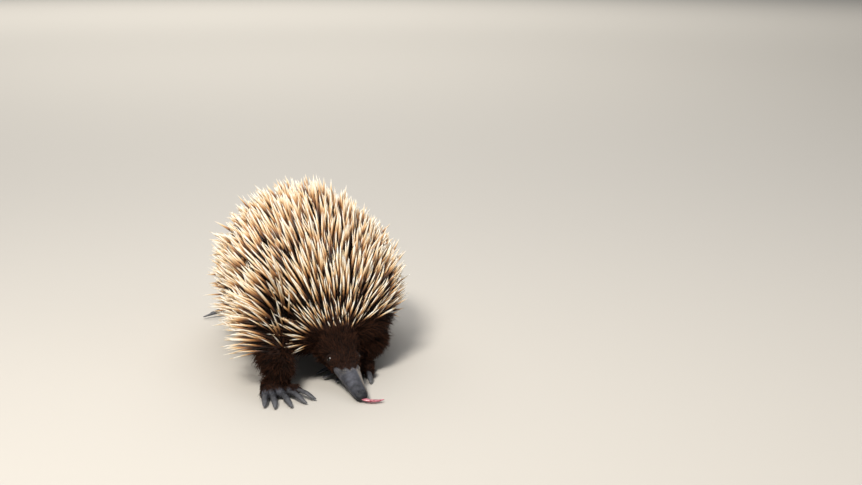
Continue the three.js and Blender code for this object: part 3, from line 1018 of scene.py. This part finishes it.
def is_quilled(points, facing):
    """Behind the face and above the skirt's edge, but not on the legs, inside them or on the throat."""
    back, left, top = in_face(points)
    front = QUILLS_START + 12 * ease(top, 12, -6) + 5 * grain(points, 6 * MM, 9.0)
    front *= 1 - 0.5 * ease(np.abs(left), FACE_HALF_WIDTH, FACE_HALF_WIDTH + 10)
    skirt = SKIRT_FRONT + (SKIRT_BACK - SKIRT_FRONT) * ease(points[:, 1], -100 * MM, -40 * MM)
    fur_top = np.where(points[:, 0] > 0, LEG_FUR_TOP["left"], LEG_FUR_TOP["right"])
    on_leg = (leg_distance(points) < LEG_REACH) & (points[:, 2] < fur_top)
    inner_edge = (-24 - 8 * ease(points[:, 1], -70 * MM, -100 * MM)) * MM
    inner = (points[:, 0] * facing[:, 0] < inner_edge) & (points[:, 2] < INNER_TOP)
    throat = (np.abs(left) < FACE_HALF_WIDTH) & (points[:, 2] < THROAT_TOP) & (points[:, 1] < -50 * MM)
    grows = (back > front) & (points[:, 2] > skirt) & (facing[:, 2] > -0.6)
    return grows & ~on_leg & ~inner & ~throat


def away_from_head(points):
    """The lie of the coat on the back: away from the crown, and down over the rump."""
    out = unit(points - CROWN)
    rear = ease(points[:, 1], 20 * MM, 150 * MM)
    low = ease(points[:, 2], 72 * MM, 44 * MM)
    low *= 0.3 + 0.7 * ease(points[:, 1], -60 * MM, 20 * MM)
    return out + rear[:, None] * [0, 0.35, -0.55] + low[:, None] * [0, 0.1, -0.45]


def waves(points, size, seed):
    """A soft wandering direction, which turns over about the given size."""
    return np.stack([grain(points, size, seed + 10 * k) for k in range(3)], axis=1)


QUILL_PROFILE = [(0, 0.0), (0.05, 0.7), (0.2, 0.92), (0.39, 1.0)]
QUILL_PROFILE += [(0.61, 0.88), (0.81, 0.55), (0.95, 0.17), (1, 0)]
spine = strand(6, 7, QUILL_PROFILE)


def is_nape(points):
    """The nape's quills are short, so they stand closer together."""
    return np.linalg.norm(points - NAPE, axis=1) < NAPE_REACH


on_back = scatter(lambda p, n: is_quilled(p, n) & ~is_nape(p), QUILL_SPACING)
on_nape = scatter(lambda p, n: is_quilled(p, n) & is_nape(p), NAPE_SPACING)
roots, facing, on_map = (np.concatenate(both) for both in zip(on_back, on_nape))
beside = parting_side(roots)
is_top = ease(facing[:, 2], 0.2, 0.6)
from_crown = np.linalg.norm(roots - NAPE - UP * 12 * MM, axis=1) / MM
low = ease(roots[:, 2], 90 * MM, 52 * MM)
rear = ease(roots[:, 1], 90 * MM, 165 * MM)
tail_end = ease(roots[:, 1], 168 * MM, 182 * MM)
shoulder = ease(-roots[:, 0], 30 * MM, 70 * MM) * ease(roots[:, 1], 20 * MM, -60 * MM)
length = np.interp(from_crown, QUILL_REACHES, QUILL_LENGTHS)
length = length * (1 - 0.15 * low) * (1 - 0.3 * rear) * (1 - 0.2 * tail_end)
length = length * (1 + 0.2 * shoulder * low) * rng.uniform(0.74, 1.08, len(roots)) * MM
girth = np.interp(length / MM, [8, 50], QUILL_RADII) * (1 - 0.25 * low)
girth = girth * rng.uniform(0.82, 1.15, len(roots)) * MM

# They flow away from the head, part along the middle, and stand up most beside the face.
flow = away_from_head(roots) + 0.13 * waves(roots, 30 * MM, 20.0)
parted = is_top * ease(roots[:, 1], -85 * MM, -55 * MM) * ease(roots[:, 1], 60 * MM, 0)
flow[:, 0] += 0.2 * np.sign(beside) * np.exp(-np.abs(beside) / (5 * MM)) * parted
rise = np.interp(from_crown, [0, 30, 90], [12, 21, 25]) + 8 * shoulder
rise += np.clip(rng.normal(0, 5, len(roots)), -9, 7)
is_front = ease(-facing[:, 1], 0.3, 0.9)
rise *= 1 - 0.4 * is_front * ease(-roots[:, 0], 55 * MM, 70 * MM)
beside_face = is_front * ease(-roots[:, 0], 60 * MM, 45 * MM) * ease(-roots[:, 0], 10 * MM, 25 * MM)
rise += 16 * beside_face * ease(roots[:, 2], 75 * MM, 60 * MM)
heading = lie(roots, facing, flow, rise, 0.1)
bend = -0.07 * facing + 0.03 * rng.normal(size=roots.shape) - 0.05 * low[:, None] * UP
tone = 0.9 * rng.random(len(roots)) + 0.55 * ease(from_crown, 95, 35)

# Hollow keratin with a low gloss: dark at the root, which is painted shade deep in the coat, tan
# above it and cream to the tip. Each quill's bands sit a little higher or lower, and age has
# stained some patches of the coat.
keratin, tree, out = material("banded_quill_keratin")
along = marking(tree, "along")
tone_way = marking(tree, "tone")
BAND_SHIFT = 0.3
QUILL_ROOT = 1 * MM
shift = add(
    tree,
    "ShaderNodeMath",
    {0: tone_way, 1: BAND_SHIFT, 2: -BAND_SHIFT / 2},
    operation="MULTIPLY_ADD",
)
banded = add(tree, "ShaderNodeMath", {0: along, 1: shift.outputs[0]}, operation="ADD")
# The dark stops at the root are painted shade deep in the coat; the tan and cream are the quill's own
# colour.
QUILL_BANDS_AND_ROOT_SHADE = [
    (0.10, "#140b06"),
    (0.26, "#2e190e"),
    (0.41, "#684226"),
    (0.53, "#b98754"),
    (0.65, "#e8ca9d"),
    (0.80, "#f9efdb"),
    (0.93, "#fffcf3"),
    (1.00, "#ead5ae"),
]
bands = add(tree, "ShaderNodeValToRGB", {"Fac": banded.outputs[0]}, QUILL_BANDS_AND_ROOT_SHADE)
place = add(tree, "ShaderNodeTexCoord").outputs["Object"]
stain = add(tree, "ShaderNodeTexNoise", {"Vector": place, "Scale": 0.06 / MM, "Detail": 3.0})
stained = add(
    tree,
    "ShaderNodeMapRange",
    {"Value": stain.outputs["Fac"], "From Min": 0.45, "From Max": 0.75, "To Max": 0.25},
)
aged = blend(tree, stained.outputs[0], bands.outputs["Color"], linear("#c98d4b"), "MULTIPLY")
shader = add(
    tree,
    "ShaderNodeBsdfPrincipled",
    {"Base Color": aged, "Roughness": 0.4, "Specular IOR Level": 0.45},
)
tree.links.new(shader.outputs[0], out.inputs["Surface"])

for side, chosen in (("left", beside > 0), ("right", beside <= 0)):
    plant(
        f"quills_{side}",
        spine,
        roots[chosen] - facing[chosen] * QUILL_ROOT,
        heading[chosen],
        bend[chosen],
        length[chosen],
        girth[chosen],
        tone[chosen],
        on_map[chosen],
        keratin,
    )

# The fur: soft dark underfur between the quills, and short reddish-brown fur, in tapering locks
# of a few hairs, on the head, the legs, the belly and the tops of the feet.

# Dull soft hair: almost black on the back, reddish on the head and the legs, and darker to the
# root, which is painted shade deep in the coat.
fur, tree, out = material("soft_brown_fur")
along = marking(tree, "along")
tone_way = marking(tree, "tone")
russet = marking(tree, "russet")
dark = blend(tree, tone_way, linear("#080503"), linear("#2b1a10"))
red = blend(tree, tone_way, linear("#0d0604"), linear("#543322"))
marked = blend(tree, russet, dark, red)
# Painted shade: each lock darkens towards its root, deep in the coat.
painted_root_shade = add(tree, "ShaderNodeMapRange", {"Value": along, "From Max": 0.7, "To Min": 0.2})
shaded = blend(tree, 1.0, marked, painted_root_shade.outputs[0], "MULTIPLY")
shader = add(
    tree,
    "ShaderNodeBsdfPrincipled",
    {"Base Color": shaded, "Roughness": 0.7, "Specular IOR Level": 0.12},
)
tree.links.new(shader.outputs[0], out.inputs["Surface"])
lock = strand(3, 4, [(0, 0.0), (0.146, 1.0), (0.5, 0.85), (0.854, 0.34), (1, 0)])
LOCK_ROOT = 0.4 * MM
TUFT_SPREAD = 0.22


def fur_coat(name, where, spacing, flow_of, long_at, thick, rise, locks=3, loose=0.2, droop=0.0):
    """Tufts of locks wherever where() is true. long_at(roots) gives the lengths in mm."""
    roots, facing, on_map = scatter(where, spacing)
    roots, facing, on_map = (np.repeat(v, locks, axis=0) for v in (roots, facing, on_map))
    roots = roots + rng.normal(size=roots.shape) * spacing * TUFT_SPREAD
    count = len(roots)
    length = long_at(roots) * rng.uniform(0.7, 1.15, count) * MM
    flow = flow_of(roots) + 0.25 * waves(roots, 9 * MM, 40.0)
    heading = lie(roots, facing, flow, rise + rng.normal(0, 7, count), loose)
    bend = -0.16 * facing + 0.12 * rng.normal(size=roots.shape) - droop * UP
    girth = thick * rng.uniform(0.75, 1.2, count) * MM
    tone = np.clip(rng.normal(0.4, 0.3, count) + 0.35 * grain(roots, 5 * MM, 8.0), 0, 1)
    roots = roots - facing * LOCK_ROOT
    plant(name, lock, roots, heading, bend, length, girth, tone, on_map, fur)


def to_eye(points):
    """Distance to the nearer eye, in mm."""
    return np.min([np.linalg.norm(points - eye, axis=1) for eye in eyes.values()], axis=0) / MM


# Where each kind of fur grows. Distances on the head are in mm.
HEAD_REACH = 52 * MM
HEAD_BACK = 112
EYE_CLEAR = 5
BELLY_START = 100
FOOT_REACH = 34 * MM
WRIST_HEIGHT = 15 * MM
LEG_FUR_REACH = 32 * MM
LEG_FUR_HEIGHT = 70 * MM


def is_head(points, facing):
    """Round the head up to the quills, but not on the bare beak, in the eyes or on a leg."""
    back = in_face(points)[0]
    furry = (bareness(points) < 0.5) & (to_eye(points) >= EYE_CLEAR)
    near = (np.linalg.norm(points - NAPE, axis=1) < HEAD_REACH) & (back < HEAD_BACK)
    return near & furry & ~is_quilled(points, facing) & (leg_distance(points) > 21 * MM)


def is_foot(points, facing):
    """Below the wrist or the ankle."""
    to_foot = np.min([np.linalg.norm(points - foot, axis=1) for foot in feet.values()], axis=0)
    return (to_foot < FOOT_REACH) & (points[:, 2] < WRIST_HEIGHT)


def is_leg(points, facing):
    """Between the wrist or the ankle and the skirt."""
    near = (leg_distance(points) < LEG_FUR_REACH) & (points[:, 2] < LEG_FUR_HEIGHT)
    return near & ~is_foot(points, facing) & ~is_quilled(points, facing)


def is_belly(points, facing):
    """All that is left behind the head."""
    taken = is_quilled(points, facing) | is_head(points, facing)
    taken |= is_leg(points, facing) | is_foot(points, facing)
    return ~taken & (in_face(points)[0] > BELLY_START)


def is_furry_foot(points, facing):
    """The top of the foot, behind the bare toes."""
    return is_foot(points, facing) & (bareness(points) < 0.4) & (points[:, 2] > 5 * MM)


def down_the_leg(points):
    """Down, and away from the head, more so at the shoulder."""
    high = ease(points[:, 2], 25 * MM, 60 * MM)[:, None]
    away = unit((points - CROWN) * [1, 1, 0])
    return np.tile([0, -0.1, -1.0], (len(points), 1)) + (0.4 + 0.9 * high) * away


def over_the_foot(points):
    """Towards the toes."""
    found = np.tile([0, -1.0, -0.3], (len(points), 1))
    for name, foot in feet.items():
        near = np.linalg.norm(points - foot, axis=1) < 36 * MM
        found[near] = toeward[name] + [0, 0, -0.3]
    return found


def face_lengths(points):
    """Fur lengths on the head: a nap behind the beak and round the eyes, longer to the nape."""
    longer = np.interp(in_face(points)[0], [43, 60, 85, 110], [3.0, 6, 11, 15])
    return longer * np.interp(to_eye(points), [5, 14], [0.35, 1])


fur_coat(
    "underfur",
    is_quilled,
    4.4 * MM,
    away_from_head,
    lambda p: np.interp(in_face(p)[0], [80, 110, 160], [8, 14, 19]),
    thick=0.55,
    rise=38,
    locks=4,
    loose=0.3,
)
fur_coat(
    "head_fur",
    is_head,
    1.25 * MM,
    lambda p: unit(p - on_beak(30)) + [0, 0, 0.05],
    face_lengths,
    thick=0.24,
    rise=22,
    locks=4,
    loose=0.22,
)
for end, sign in (("fore", -1), ("hind", 1)):
    fur_coat(
        f"leg_fur_{end}",
        lambda p, n: is_leg(p, n) & (p[:, 1] * sign > 0),
        1.9 * MM,
        down_the_leg,
        lambda p: np.interp(p[:, 2], [0.015, 0.06], [9, 19]),
        thick=0.33,
        rise=28,
        locks=4,
        loose=0.28,
    )
fur_coat(
    "belly_fur",
    is_belly,
    3.0 * MM,
    lambda p: np.tile([0, 1.0, -0.25], (len(p), 1)),
    lambda p: np.full(len(p), 14.0),
    thick=0.5,
    rise=24,
    droop=0.1,
)
fur_coat(
    "foot_fur",
    is_furry_foot,
    1.45 * MM,
    over_the_foot,
    lambda p: np.full(len(p), 6.0),
    thick=0.26,
    rise=12,
    locks=4,
)

low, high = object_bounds()
